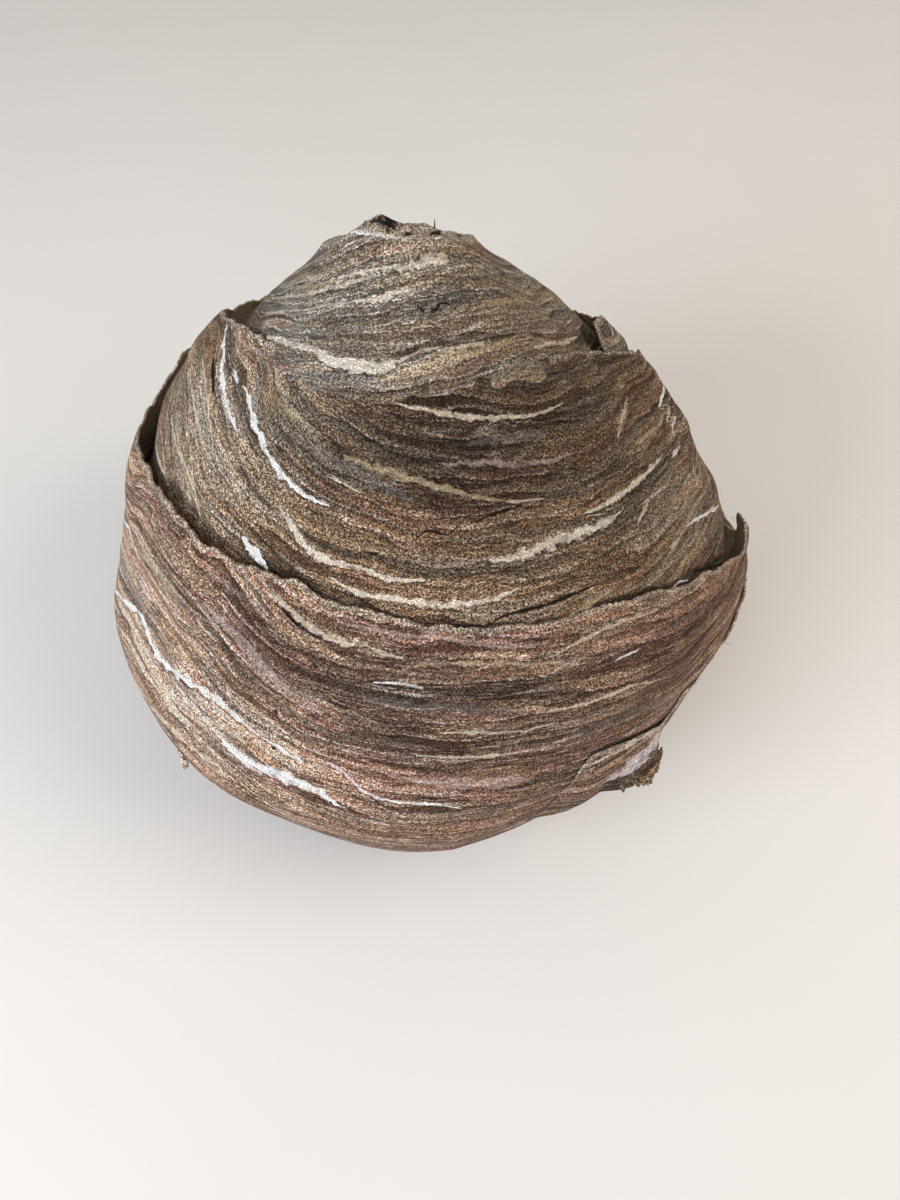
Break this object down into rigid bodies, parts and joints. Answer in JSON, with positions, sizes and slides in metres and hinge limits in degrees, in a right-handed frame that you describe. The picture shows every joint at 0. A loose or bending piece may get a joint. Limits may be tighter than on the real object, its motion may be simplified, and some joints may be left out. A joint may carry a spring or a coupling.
{
  "type": "common wasp nest",
  "caption": "Small rounded wasp nest of grey-brown paper sheets wrapped like a bud, with a round entrance in the tip of its cone and a flat cut below.",
  "frame": {"origin": "middle of the flat cut that the nest rests on", "axes": "+Z from the flat cut up to the entrance, +X to the nest's right as the picture shows it, -Y to the picture's front"},
  "size_m": [0.175, 0.1704, 0.1532],
  "materials": {
    "grey_paper": "matt chewed wood fibre, grey with fine pale and dark streaks",
    "brown_paper": "matt chewed wood fibre, grey-brown with pale streaks along its growth lines",
    "pink_paper": "matt chewed wood fibre, warm brown with pale and dark bands along its growth lines"
  },
  "bodies": {
    "root": {"entrance_cone": "grey_paper", "shoulder_sheet": "grey_paper", "middle_sheet": "brown_paper", "outer_sheet": "pink_paper", "lower_sheet": "pink_paper"}
  },
  "joints": []
}
